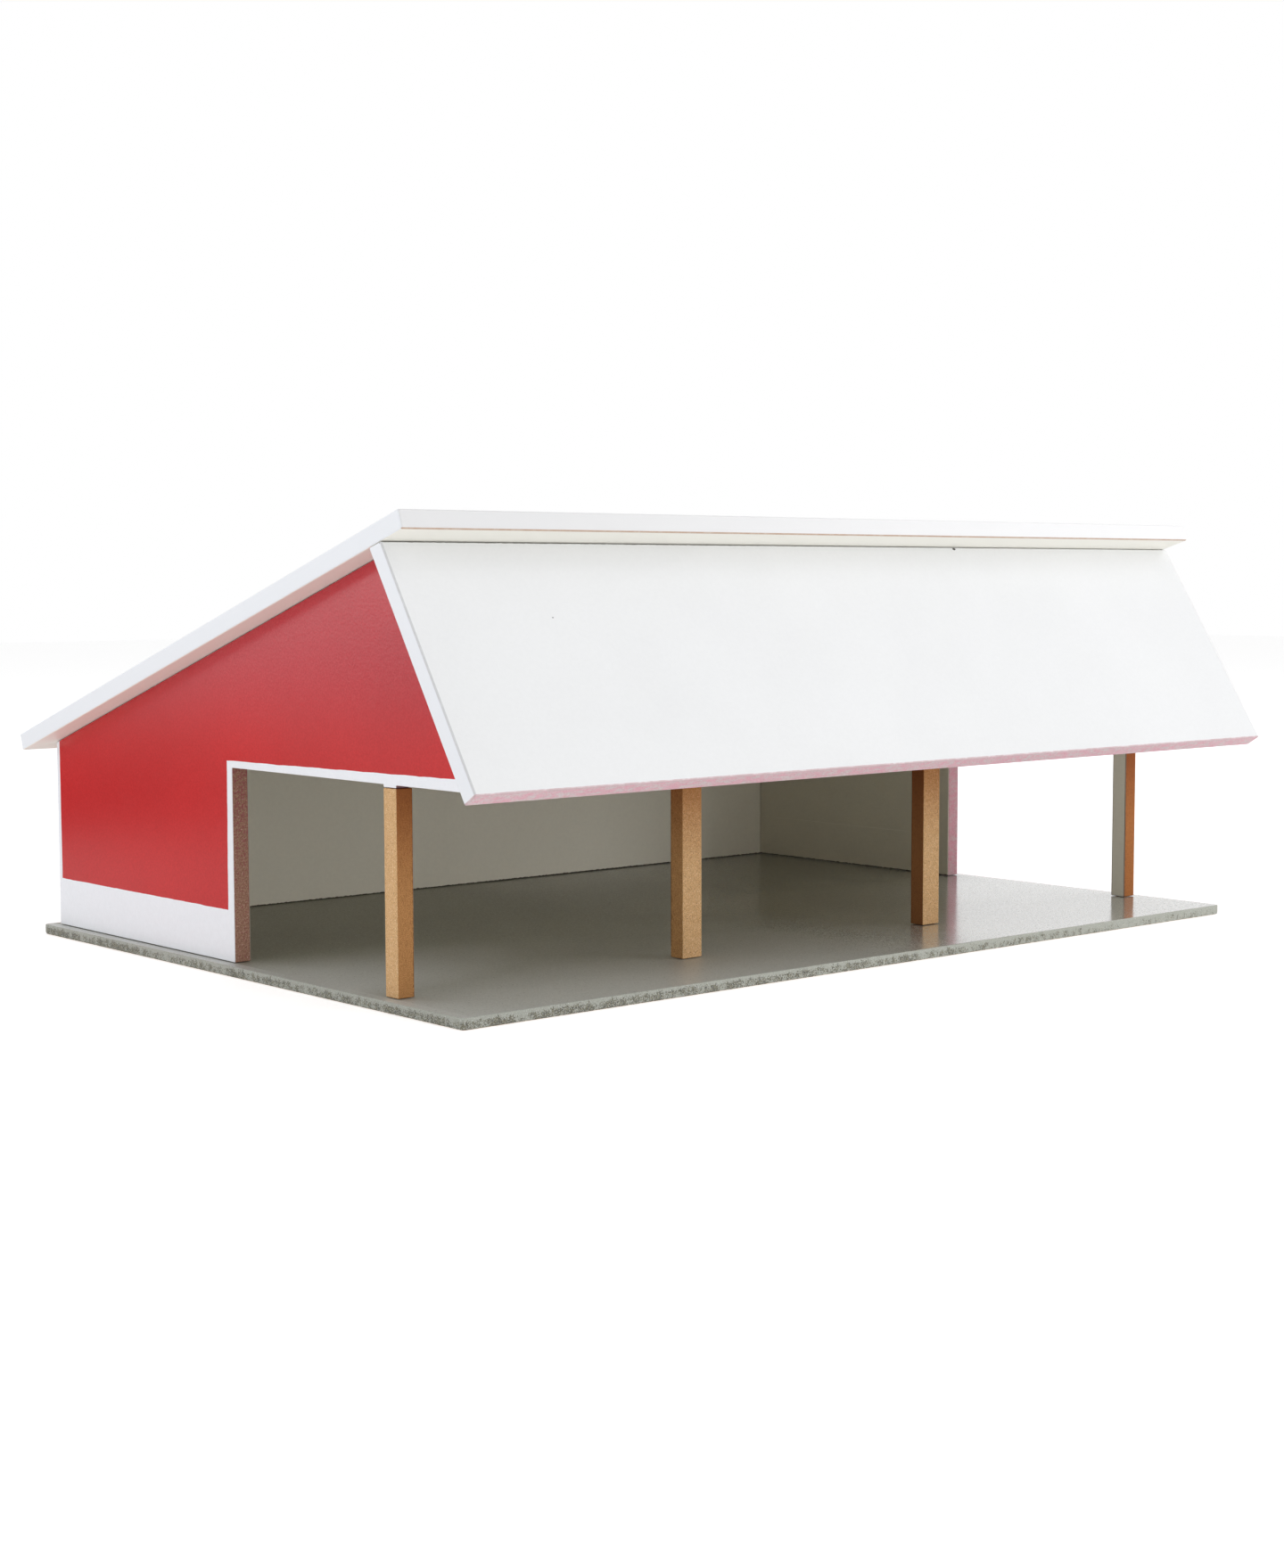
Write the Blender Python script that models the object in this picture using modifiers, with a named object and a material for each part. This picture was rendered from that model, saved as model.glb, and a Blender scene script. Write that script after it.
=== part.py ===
"""Toy cattle shed: a small open-fronted farm building sawn from MDF board.

A thin base plate carries two gables, a rear wall and the front posts. A short stub under
each gable's header stands on a separate leg. The main roof falls from the ridge to the rear
wall, and a steep canopy leans out from the ridge over the open front. Countersunk screws
come up through the base plate, and panel pins hold both roofs.

The origin is the centre of the base plate's underside. X runs along the shed, the open
front faces -Y and Z is up. All sizes are in metres.
"""

import math

import bmesh
import bpy
from mathutils import Matrix, Vector

# Bays and uprights
bay_count = 3
bay_width = 0.160
post_width = 0.0125
post_depth = 0.009
gable_thickness = 0.009

# Gable outline, heights taken from the top of the base plate
wall_depth = 0.1785
doorway_width = 0.127
leg_depth = 0.0095
leg_stub = 0.0012
doorway_height = 0.095
eaves_height = 0.0985
ridge_height = 0.1985
canopy_reach = 0.065

# Rear wall
rear_wall_thickness = 0.009
rear_wall_inset = 0.001

# Roof boards, overhangs along the slope
roof_thickness = 0.009
roof_front_overhang = 0.0256
roof_rear_overhang = 0.0154
roof_end_overhang = 0.0125
canopy_thickness = 0.009
canopy_end_overhang = 0.013
canopy_drip = 0.0044

# Base plate
base_thickness = 0.0055
base_side_ledge = 0.006
base_front_ledge = 0.0555
base_rear_ledge = 0.0075
base_corner_radius = 0.0025
base_lower_arris = 0.0014
base_top_arris = 0.0004

# Arrises of the other boards
wall_arris = 0.0004
roof_arris = 0.0007
post_arris = 0.0004

# Countersunk screws that come up through the base plate
screw_length = 0.022
screw_shank_diameter = 0.003
screw_point_length = 0.004
screw_head_diameter = 0.006
screw_head_rim = 0.0004
screw_head_depth = 0.0018
screw_head_recess = 0.0002
screw_slot_span = 0.0032
screw_slot_width = 0.0007
screw_slot_depth = 0.0011

# Panel pins in the roofs, their heads punched below the painted face
pin_length = 0.022
pin_diameter = 0.0014
pin_point_length = 0.002
pin_head_diameter = 0.0024
pin_head_thickness = 0.0006
pin_head_cover = 0.0015

# Fits
glue_gap = 0.0003
hole_clearance = 0.0003
cut_overrun = 0.002
weld_distance = 0.00001

# Where the fixings stand, as shares of the board that they hold
gable_screw_shares = (0.15, 0.85)
rear_wall_screw_shares = (0.08, 0.5, 0.92)
gable_pin_shares = (0.08, 0.45, 0.88)
rear_wall_pin_shares = (0.12, 0.5, 0.88)
canopy_pin_shares = (0.16, 0.5, 0.84)

# Facets and shading angles
corner_steps = 8
arris_segments = 2
base_arris_segments = 3
screw_sides = 12
pin_sides = 8
flat_angle = math.radians(0.5)
sharp_angle = math.radians(35)

# Places worked out from the sizes above
gable_depth = wall_depth + doorway_width + leg_depth
clear_length = bay_count * bay_width + (bay_count - 1) * post_width
shed_length = clear_length + 2 * gable_thickness
base_length = shed_length + 2 * base_side_ledge
base_depth = base_rear_ledge + gable_depth + base_front_ledge
rear_y = base_depth / 2 - base_rear_ledge
front_y = rear_y - gable_depth
jamb_y = rear_y - wall_depth
leg_y = front_y + leg_depth / 2
leg_rear_y = front_y + leg_depth
floor_z = base_thickness
foot_z = floor_z + glue_gap
head_z = floor_z + doorway_height
stub_z = head_z - leg_stub
eaves_z = floor_z + eaves_height
ridge_z = floor_z + ridge_height
gable_x = (shed_length - gable_thickness) / 2
rear_wall_y = rear_y - rear_wall_inset - rear_wall_thickness / 2
post_y = front_y + post_depth / 2
bay_pitch = bay_width + post_width
post_places = [(index - bay_count / 2) * bay_pitch for index in range(1, bay_count)]

# Directions in the Y-Z plane: along each roof board and square to it
roof_pitch = math.atan2(ridge_z - eaves_z, gable_depth)
canopy_slope = math.atan2(ridge_z - head_z, canopy_reach)
up_roof = Vector((-math.cos(roof_pitch), math.sin(roof_pitch)))
off_roof = Vector((math.sin(roof_pitch), math.cos(roof_pitch)))
down_canopy = Vector((-math.cos(canopy_slope), -math.sin(canopy_slope)))
off_canopy = Vector((-math.sin(canopy_slope), math.cos(canopy_slope)))
ridge = Vector((front_y, ridge_z))
eaves = Vector((rear_y, eaves_z))
header_corner = Vector((front_y - canopy_reach, head_z))
gable_slope_length = (ridge - eaves).length
canopy_edge_length = (header_corner - ridge).length


def clear_scene():
    """Take every object out of the scene."""
    for obj in list(bpy.data.objects):
        bpy.data.objects.remove(obj, do_unlink=True)


def new_collection(name):
    """A collection linked to the scene."""
    collection = bpy.data.collections.new(name)
    bpy.context.scene.collection.children.link(collection)
    return collection


def finish(name, colour, roughness, metallic=0.0):
    """A plain Principled material."""
    material = bpy.data.materials.new(name)
    material.use_nodes = True
    shader = material.node_tree.nodes["Principled BSDF"]
    shader.inputs["Base Color"].default_value = (*colour, 1.0)
    shader.inputs["Roughness"].default_value = roughness
    shader.inputs["Metallic"].default_value = metallic
    material.diffuse_color = (*colour, 1.0)
    return material


def evaluated_mesh(obj):
    """The object's mesh as its modifiers leave it."""
    bpy.context.view_layer.update()
    depsgraph = bpy.context.evaluated_depsgraph_get()
    return bpy.data.meshes.new_from_object(obj.evaluated_get(depsgraph))


def roof_line(y):
    """Height of the gable's sloping top edge at y, carried on past both ends."""
    return eaves_z + (rear_y - y) * math.tan(roof_pitch)


def meeting_point(start, along, other_start, other_along):
    """Where two straight lines of the Y-Z plane cross."""
    offset = other_start - start
    share = offset.cross(other_along) / along.cross(other_along)
    return start + along * share


def board_mesh(name, outline, width):
    """A closed mesh of a flat outline, width thick and centred on its own plane."""
    curve = bpy.data.curves.new(name, "CURVE")
    curve.dimensions = "2D"
    curve.fill_mode = "BOTH"
    curve.extrude = width / 2
    spline = curve.splines.new("POLY")
    spline.points.add(len(outline) - 1)
    for point, (across, up) in zip(spline.points, outline):
        point.co = (across, up, 0.0, 1.0)
    spline.use_cyclic_u = True
    drawn = bpy.data.objects.new(name, curve)
    cutters.objects.link(drawn)
    mesh = evaluated_mesh(drawn)
    mesh.name = name
    bpy.data.objects.remove(drawn, do_unlink=True)
    bm = bmesh.new()
    bm.from_mesh(mesh)
    bmesh.ops.remove_doubles(bm, verts=bm.verts, dist=weld_distance)
    bmesh.ops.dissolve_limit(bm, angle_limit=flat_angle, verts=bm.verts, edges=bm.edges)
    bmesh.ops.recalc_face_normals(bm, faces=bm.faces)
    bm.to_mesh(mesh)
    bm.free()
    return mesh


def place(name, mesh, matrix, material, collection):
    """An object of the mesh, set at the matrix."""
    obj = bpy.data.objects.new(name, mesh)
    if not mesh.materials and material is not None:
        mesh.materials.append(material)
    collection.objects.link(obj)
    obj.matrix_world = matrix
    return obj


def soften(obj, width, segments):
    """Round the object's sharp arrises."""
    bevel = obj.modifiers.new("arris", "BEVEL")
    bevel.width = width
    bevel.segments = segments
    bevel.limit_method = "ANGLE"
    bevel.angle_limit = sharp_angle
    return bevel


def upright_board(name, outline, width, centre_x, arris, material):
    """A board whose outline lies in the Y-Z plane and whose width runs along X."""
    mesh = board_mesh(name, outline, width)
    turn = Matrix(((0, 0, 1, centre_x), (1, 0, 0, 0), (0, 1, 0, 0), (0, 0, 0, 1)))
    obj = place(name, mesh, turn, material, shed)
    soften(obj, arris, arris_segments)
    return obj


def turned_mesh(name, profile, sides):
    """A closed turned mesh from (radius, height) points, top of the axis to its foot."""
    mesh = bpy.data.meshes.new(name)
    bm = bmesh.new()
    points = [bm.verts.new((radius, 0.0, height)) for radius, height in profile]
    for upper, lower in zip(points, points[1:]):
        bm.edges.new((upper, lower))
    bm.to_mesh(mesh)
    bm.free()
    profile_object = bpy.data.objects.new(name, mesh)
    cutters.objects.link(profile_object)
    turn = profile_object.modifiers.new("turn", "SCREW")
    turn.axis = "Z"
    turn.steps = sides
    turn.render_steps = sides
    turn.use_merge_vertices = True
    turn.merge_threshold = weld_distance
    turned = evaluated_mesh(profile_object)
    turned.name = name
    bpy.data.objects.remove(profile_object, do_unlink=True)
    return turned


def smooth(mesh):
    """Shade a round mesh smooth, with its sharp edges kept."""
    mesh.shade_smooth()
    mesh.set_sharp_from_angle(angle=sharp_angle)


def cut(board, cutter):
    """Take the cutter out of the board."""
    boolean = board.modifiers.new(cutter.name, "BOOLEAN")
    boolean.operation = "DIFFERENCE"
    boolean.solver = "EXACT"
    boolean.object = cutter


def hidden_cutter(name, mesh, matrix):
    """A cutter object, drawn as wire and never rendered."""
    obj = place(name, mesh, matrix, None, cutters)
    obj.hide_render = True
    obj.display_type = "WIRE"
    return obj


def rounded_rectangle(length, depth, radius):
    """Corner arcs of a rectangle centred on the origin, in order round it."""
    points = []
    for corner in range(4):
        start = math.pi / 2 * corner
        side_x = 1 if corner in (0, 3) else -1
        side_y = 1 if corner in (0, 1) else -1
        centre_x = side_x * (length / 2 - radius)
        centre_y = side_y * (depth / 2 - radius)
        for step in range(corner_steps + 1):
            angle = start + math.pi / 2 * step / corner_steps
            points.append((centre_x + radius * math.cos(angle), centre_y + radius * math.sin(angle)))
    return points


def make_base_plate():
    """The thin base plate: round corners in plan, its lower arris rounder than its top one."""
    outline = rounded_rectangle(base_length, base_depth, base_corner_radius)
    mesh = board_mesh("base_plate", outline, base_thickness)
    bm = bmesh.new()
    bm.from_mesh(mesh)
    weight = bm.edges.layers.float.new("bevel_weight_edge")
    for edge in bm.edges:
        heights = [vertex.co.z for vertex in edge.verts]
        if max(heights) < 0:
            edge[weight] = 1.0
        elif min(heights) > 0:
            edge[weight] = base_top_arris / base_lower_arris
    bm.to_mesh(mesh)
    bm.free()
    material = finish("base_grey", (0.21, 0.21, 0.18), 0.35)
    obj = place("base_plate", mesh, Matrix.Translation((0, 0, base_thickness / 2)), material, shed)
    bevel = obj.modifiers.new("arris", "BEVEL")
    bevel.width = base_lower_arris
    bevel.segments = base_arris_segments
    bevel.limit_method = "WEIGHT"
    return obj


def gable_outline():
    """One gable: the closed wall, and the header over the side doorway with the leg's stub."""
    return [
        (rear_y, foot_z),
        (jamb_y, foot_z),
        (jamb_y, head_z),
        (leg_rear_y, head_z),
        (leg_rear_y, stub_z),
        (front_y, stub_z),
        (front_y, head_z),
        tuple(header_corner),
        tuple(ridge),
        tuple(eaves),
    ]


def make_gables():
    """Both gables, sawn to the same outline."""
    gables = {}
    for side, sign in (("left", -1), ("right", 1)):
        name = "gable_" + side
        x = sign * gable_x
        material = finish(name + "_red", (0.52, 0.025, 0.03), 0.5)
        gables[side] = upright_board(name, gable_outline(), gable_thickness, x, wall_arris, material)
    return gables


def make_legs():
    """The front legs, square strips that stand under the gables' stubs."""
    outline = [
        (leg_rear_y, foot_z),
        (front_y, foot_z),
        (front_y, stub_z - glue_gap),
        (leg_rear_y, stub_z - glue_gap),
    ]
    legs = {}
    for side, sign in (("left", -1), ("right", 1)):
        name = "leg_" + side
        material = finish(name + "_bare_board", (0.50, 0.31, 0.16), 0.75)
        legs[side] = upright_board(name, outline, gable_thickness, sign * gable_x, post_arris, material)
    return legs


def make_rear_wall():
    """The rear wall, set between the gables with its top edge planed to the roof's pitch."""
    outer_y = rear_wall_y + rear_wall_thickness / 2
    inner_y = rear_wall_y - rear_wall_thickness / 2
    outline = [
        (inner_y, foot_z),
        (inner_y, roof_line(inner_y)),
        (outer_y, roof_line(outer_y)),
        (outer_y, foot_z),
    ]
    material = finish("rear_wall_white", (0.60, 0.60, 0.56), 0.5)
    return upright_board("rear_wall", outline, clear_length - 2 * glue_gap, 0.0, wall_arris, material)


def make_posts():
    """The front posts, from the base plate up to the roof, their tops cut to its pitch."""
    inner_y = front_y + post_depth
    outline = [
        (front_y, foot_z),
        (front_y, ridge_z),
        (inner_y, roof_line(inner_y)),
        (inner_y, foot_z),
    ]
    posts = []
    for number, centre_x in enumerate(post_places, 1):
        name = f"post_{number}"
        material = finish(name + "_bare_board", (0.50, 0.31, 0.16), 0.75)
        posts.append(upright_board(name, outline, post_width, centre_x, post_arris, material))
    return posts


def make_main_roof():
    """The long roof board, from behind the rear wall to past the ridge."""
    under_ridge = ridge + off_roof * glue_gap
    front_low = under_ridge + up_roof * roof_front_overhang
    rear_low = under_ridge - up_roof * (gable_slope_length + roof_rear_overhang)
    outline = [
        tuple(rear_low),
        tuple(rear_low + off_roof * roof_thickness),
        tuple(front_low + off_roof * roof_thickness),
        tuple(front_low),
    ]
    material = finish("main_roof_white", (0.86, 0.87, 0.88), 0.4)
    width = shed_length + 2 * roof_end_overhang
    return upright_board("main_roof", outline, width, 0.0, roof_arris, material)


def make_front_canopy():
    """The steep board over the open front, its top edge planed to lie under the main roof."""
    inner_start = ridge + off_canopy * glue_gap
    outer_start = inner_start + off_canopy * canopy_thickness
    inner_low = inner_start + down_canopy * (canopy_edge_length + canopy_drip)
    outline = [
        tuple(inner_low),
        tuple(meeting_point(inner_start, down_canopy, ridge, up_roof)),
        tuple(meeting_point(outer_start, down_canopy, ridge, up_roof)),
        tuple(inner_low + off_canopy * canopy_thickness),
    ]
    material = finish("front_canopy_white", (0.86, 0.87, 0.88), 0.4)
    width = shed_length + 2 * canopy_end_overhang
    return upright_board("front_canopy", outline, width, 0.0, roof_arris, material)


def screw_meshes():
    """The countersunk screw, head down with its face just inside z = 0, and the hole for it."""
    shank = screw_shank_diameter / 2
    head = screw_head_diameter / 2
    face = screw_head_recess
    rim = face + screw_head_rim
    seat = face + screw_head_depth
    tip = face + screw_length
    profile = [
        (0.0, tip),
        (shank, tip - screw_point_length),
        (shank, seat),
        (head, rim),
        (head, face),
        (0.0, face),
    ]
    body = turned_mesh("screw_blank", profile, screw_sides)
    blank = place("screw_blank", body, Matrix(), None, cutters)
    for quarter in (0, 1):
        bpy.ops.mesh.primitive_cube_add(size=1.0)
        slot = bpy.context.object
        slot.name = f"screw_slot_{quarter}"
        slot.rotation_euler.z = quarter * math.pi / 2
        slot.scale = (screw_slot_span, screw_slot_width, 2 * (face + screw_slot_depth))
        cut(blank, slot)
    screw = evaluated_mesh(blank)
    screw.name = "countersunk_screw"
    for obj in [blank] + [mod.object for mod in blank.modifiers]:
        bpy.data.objects.remove(obj, do_unlink=True)
    smooth(screw)
    wide = hole_clearance
    hole_profile = [
        (0.0, tip + wide),
        (shank + wide, tip + wide - screw_point_length / 2),
        (shank + wide, seat + wide),
        (head + wide, rim + wide),
        (head + wide, -cut_overrun),
        (0.0, -cut_overrun),
    ]
    return screw, turned_mesh("screw_hole", hole_profile, screw_sides)


def pin_meshes():
    """The panel pin, head up with its top at z = 0, and the hole that it fills."""
    shank = pin_diameter / 2
    head = pin_head_diameter / 2
    profile = [
        (0.0, 0.0),
        (head, 0.0),
        (head, -pin_head_thickness),
        (shank, -pin_head_thickness),
        (shank, pin_point_length - pin_length),
        (0.0, -pin_length),
    ]
    wide = hole_clearance
    hole_profile = [
        (0.0, wide),
        (head + wide, wide),
        (head + wide, -pin_head_thickness - wide),
        (shank + wide, -pin_head_thickness - wide),
        (shank + wide, pin_point_length / 2 - pin_length - wide),
        (0.0, -pin_length - wide),
    ]
    pin = turned_mesh("panel_pin", profile, pin_sides)
    smooth(pin)
    return pin, turned_mesh("pin_hole", hole_profile, pin_sides)


def fix(name, meshes, matrix, boards, material):
    """Put in one fixing, and bore its hole through the boards that it joins."""
    solid, hole = meshes
    place(name, solid, matrix, material, shed)
    cutter = hidden_cutter("hole_" + name, hole, matrix)
    for board in boards:
        cut(board, cutter)


def screw_from_below(name, meshes, x, y, base_plate, upright, material):
    """A screw up through the base plate into the foot of an upright board."""
    fix(name, meshes, Matrix.Translation((x, y, 0)), (base_plate, upright), material)


def pin_through_roof(name, meshes, x, y, main_roof, upright, material):
    """A plumb pin down through the main roof into the top of an upright board."""
    face_z = roof_line(y) + (glue_gap + roof_thickness) / math.cos(roof_pitch)
    fix(name, meshes, Matrix.Translation((x, y, face_z - pin_head_cover)), (main_roof, upright), material)


def pin_through_canopy(name, meshes, x, share, canopy, gable, material):
    """A pin square to the canopy, into the sloping front edge of a gable."""
    depth = glue_gap + canopy_thickness - pin_head_cover
    y, z = ridge + down_canopy * (share * canopy_edge_length) + off_canopy * depth
    lean = Matrix.Rotation(canopy_slope, 4, "X")
    fix(name, meshes, Matrix.Translation((x, y, z)) @ lean, (canopy, gable), material)


def put_in_screws(base_plate, gables, legs, rear_wall, posts):
    """The screws that hold every upright board to the base plate."""
    meshes = screw_meshes()
    steel = finish("screw_steel", (0.55, 0.53, 0.48), 0.35, 1.0)
    for side, sign in (("left", -1), ("right", 1)):
        x = sign * gable_x
        for number, share in enumerate(gable_screw_shares, 1):
            name = f"screw_gable_{side}_{number}"
            y = rear_y - share * wall_depth
            screw_from_below(name, meshes, x, y, base_plate, gables[side], steel)
        screw_from_below(f"screw_leg_{side}", meshes, x, leg_y, base_plate, legs[side], steel)
    for number, share in enumerate(rear_wall_screw_shares, 1):
        name = f"screw_rear_wall_{number}"
        x = (share - 1 / 2) * clear_length
        screw_from_below(name, meshes, x, rear_wall_y, base_plate, rear_wall, steel)
    for number, (x, post) in enumerate(zip(post_places, posts), 1):
        screw_from_below(f"screw_post_{number}", meshes, x, post_y, base_plate, post, steel)


def put_in_pins(gables, rear_wall, posts, main_roof, canopy):
    """The pins that hold the main roof and the canopy."""
    meshes = pin_meshes()
    steel = finish("pin_steel", (0.45, 0.45, 0.46), 0.3, 1.0)
    for side, sign in (("left", -1), ("right", 1)):
        gable = gables[side]
        x = sign * gable_x
        for number, share in enumerate(gable_pin_shares, 1):
            y = rear_y - share * gable_depth
            pin_through_roof(f"roof_pin_gable_{side}_{number}", meshes, x, y, main_roof, gable, steel)
        for number, share in enumerate(canopy_pin_shares, 1):
            pin_through_canopy(f"canopy_pin_{side}_{number}", meshes, x, share, canopy, gable, steel)
    for number, share in enumerate(rear_wall_pin_shares, 1):
        name = f"roof_pin_rear_wall_{number}"
        x = (share - 1 / 2) * clear_length
        pin_through_roof(name, meshes, x, rear_wall_y, main_roof, rear_wall, steel)
    for number, (x, post) in enumerate(zip(post_places, posts), 1):
        pin_through_roof(f"roof_pin_post_{number}", meshes, x, post_y, main_roof, post, steel)


clear_scene()
shed = new_collection("toy_cattle_shed")
cutters = new_collection("cutters")
base_plate = make_base_plate()
gables = make_gables()
legs = make_legs()
rear_wall = make_rear_wall()
posts = make_posts()
main_roof = make_main_roof()
front_canopy = make_front_canopy()
put_in_screws(base_plate, gables, legs, rear_wall, posts)
put_in_pins(gables, rear_wall, posts, main_roof, front_canopy)
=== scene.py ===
"""Looks of the toy cattle shed: painted fibreboard, bare board posts, and a plain studio."""

import math

import bpy
from mathutils import Matrix, Vector


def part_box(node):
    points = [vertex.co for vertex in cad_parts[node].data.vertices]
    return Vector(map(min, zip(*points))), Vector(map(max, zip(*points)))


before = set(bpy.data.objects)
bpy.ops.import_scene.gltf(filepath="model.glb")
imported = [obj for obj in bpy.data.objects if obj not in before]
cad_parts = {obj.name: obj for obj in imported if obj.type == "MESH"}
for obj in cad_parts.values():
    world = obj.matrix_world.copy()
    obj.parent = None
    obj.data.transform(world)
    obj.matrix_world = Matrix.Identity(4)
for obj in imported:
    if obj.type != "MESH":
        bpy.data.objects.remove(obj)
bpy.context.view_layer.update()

X, Y, Z = range(3)

# Camera, measured from the photograph
IMAGE_WIDTH = 1440
FOCAL_PIXELS = 2686.3
CAMERA_PLACE = (-0.8655, -0.9939, 0.1897)
CAMERA_YAW = math.radians(40.96)
CAMERA_PITCH = math.radians(-4.85)
CAMERA_ROLL = math.radians(-0.14)
SENSOR_WIDTH = 36.0
CLIP_START = 0.01

# Studio
BACKGROUND_STRENGTH = 1.0
FILL_STRENGTH = 0.45
WHITE_LIGHT = (1.0, 1.0, 1.0, 1.0)
FLOOR_SIZE = 12.0
FLOOR_TONE = (0.9, 0.9, 0.9, 1.0)
FLOOR_ROUGHNESS = 0.9
FLOOR_SPECULAR = 0.2
# The floor glows this much for all but glossy rays, and this much more for the camera
FLOOR_GLOW = 0.25
FLOOR_LIFT = 0.28
# A dark card, which gives the gable's gloss something dark to show
FLAG_PLACE = (-0.62, 1.26, 0.004)
FLAG_SIZE = (0.72, 1.30, 1.0)
FLAG_TURN = math.radians(25.0)
FLAG_TONE = (0.02, 0.02, 0.02, 1.0)
FLAG_ROUGHNESS = 1.0
# Every lamp points here
TARGET = Vector((0.0, -0.02, 0.08))
# name, place, size, watts, whether gloss shows it
LAMPS = (
    ("key_right", (1.5, -1.9, 1.3), (1.2, 1.2), 9.8, True),
    ("right_low", (1.3, -2.1, 0.40), (1.2, 0.7), 8.1, True),
    ("front_low", (-0.1, -2.6, 0.40), (1.6, 0.7), 3.0, True),
    ("front_top", (0.3, -1.1, 2.2), (1.8, 1.0), 4.5, True),
    ("right_high", (1.7, -1.0, 1.7), (1.2, 1.2), 4.6, True),
    ("left", (-2.3, -0.3, 1.0), (1.2, 1.4), 6.7, True),
    ("overhead", (0.0, 0.2, 2.4), (2.0, 2.0), 5.7, True),
    ("rear_left", (-1.5, 1.7, 0.87), (1.5, 1.5), 9.8, True),
    ("rear_right", (1.6, 1.4, 0.6), (1.2, 1.0), 4.3, False),
)

# Places of the boards, read from the frame
wall_low, wall_high = (Vector(corner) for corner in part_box("gable_left"))
BOARD = wall_high.x - wall_low.x
GABLE_OUTER_X = -wall_low.x
GABLE_MID_X = GABLE_OUTER_X - BOARD / 2
REAR_Y = wall_high.y
HEADER_FRONT_Y = wall_low.y
FOOT_Z = wall_low.z
RIDGE_Z = wall_high.z
leg_low, leg_high = (Vector(corner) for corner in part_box("leg_left"))
LEG_FRONT_Y = leg_low.y
# The stub over a leg ends less than a board's thickness behind it
STUB_REAR_Y = leg_high.y + BOARD
FLOOR_TOP_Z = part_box("base_plate")[1][Z]
ROOF_END_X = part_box("main_roof")[1][X]
CANOPY_END_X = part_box("front_canopy")[1][X]

# Sizes of the solids that their boxes don't give
EAVES_Z = 0.1040
DOORWAY_TOP_Z = 0.1005
SEAT_GAP = 0.0003
ROOF_THICKNESS = 0.009
ROOF_FRONT_OVERHANG = 0.0256
CANOPY_DRIP = 0.0044

# Slopes of the two roof boards, which meet at the ridge over the legs' front faces
RIDGE = Vector((0.0, LEG_FRONT_Y, RIDGE_Z))
ALONG_SHED = Vector((1.0, 0.0, 0.0))
roof_fall = Vector((0.0, REAR_Y, EAVES_Z)) - RIDGE
canopy_fall = Vector((0.0, HEADER_FRONT_Y, DOORWAY_TOP_Z)) - RIDGE
UP_ROOF = -roof_fall.normalized()
OFF_ROOF = ALONG_SHED.cross(roof_fall.normalized())
DOWN_CANOPY = canopy_fall.normalized()
OFF_CANOPY = DOWN_CANOPY.cross(ALONG_SHED)
CANOPY_FOOT = canopy_fall.length + CANOPY_DRIP
# The canopy's outer face starts this far down from the ridge, where its planed top meets the roof
CANOPY_TOP = -(SEAT_GAP + ROOF_THICKNESS) * OFF_CANOPY.dot(OFF_ROOF) / DOWN_CANOPY.dot(OFF_ROOF)

# How far in from a face or an arris a look reaches
FACE_BAND = 0.0003
ARRIS = 0.0007
# Tan line on the main roof's low front arris
ROOF_LINE = 0.0007
# Painted shade of the seam under the main roof: its width, and how far it reaches in from the canopy's
# outer face
SEAM_LINE = 0.0003
SEAM_REACH = 0.0014
# Dark line where a wall stands on the plate, partly torn fibres and partly painted contact shade, and
# the torn fibres along a sawn arris
FOOT_LINE = 0.0004
RAGGED_REACH = 0.0006
# How softly a look ends, either way
SOFTNESS = 0.00008
RAGGED_SOFTNESS = 0.0002

# Painted pattern of the gables: a white plinth
PLINTH_TOP_Z = 0.0310
# A white strip on the doorway's jamb, wider at its foot
JAMB_Y = 0.0030
JAMB_STRIP_TOP = 0.0044
JAMB_STRIP_FOOT = 0.0052
# A white band over the doorway, up to a line through this y and z that falls to the rear
HEADER_LINE_Z = 0.1039
HEADER_LINE_Y = -0.0035
HEADER_LINE_RISE = -0.0115
# A white strip at the rear
REAR_STRIP = 0.0035
# A painted reflection on the red, a pinker haze that grows up to here
PAINTED_HAZE_TOP_Z = 0.165

# Noise is read this far from the origin, where its layers would line up in a visible seam
NOISE_PLACE = (1.7, 2.3, 1.1)
NOISE_MIDDLE = 0.5
# Most of a noise lies between these
NOISE_LOW = 0.3
NOISE_HIGH = 0.7

# Slow offsets that keep a line from looking ruled: noise scale, reach either way
PAINT_LINE_WANDER = (70.0, 0.00022)
SEAM_WANDER = (260.0, 0.00025)
FOOT_WANDER = (520.0, 0.0003)
RAGGED_WANDER = (600.0, 0.0004)
# A noise is seldom further than this part of its whole from its middle
WANDER_SHARE = 0.25

# Standard curve between the 0-255 values that a picture shows and linear light
CURVE_KNEE = 0.04045
CURVE_SLOPE = 12.92
CURVE_OFFSET = 0.055
CURVE_POWER = 2.4


def colour(red, green, blue):
    """Linear colour from the 0-255 values that a picture shows."""
    channels = []
    for value in (red, green, blue):
        share = value / 255
        if share <= CURVE_KNEE:
            channels.append(share / CURVE_SLOPE)
        else:
            channels.append(((share + CURVE_OFFSET) / (1 + CURVE_OFFSET)) ** CURVE_POWER)
    return (*channels, 1.0)


# Colours of the paints, and of the coated face
RED = colour(193, 9, 12)
RED_WORN = colour(205, 18, 21)
# Pinker reds for the painted reflection higher up on the gables
RED_PAINTED_HAZE = colour(184, 43, 53)
RED_WORN_PAINTED_HAZE = colour(194, 49, 59)
WHITE = colour(235, 236, 237)
EDGE_WHITE = colour(233, 233, 234)
END_WHITE = colour(240, 243, 248)
GABLE_WHITE = colour(244, 247, 252)
UNDER_WHITE = colour(246, 244, 235)
COAT = colour(243, 240, 226)
COAT_DULL = colour(216, 211, 194)

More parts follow.
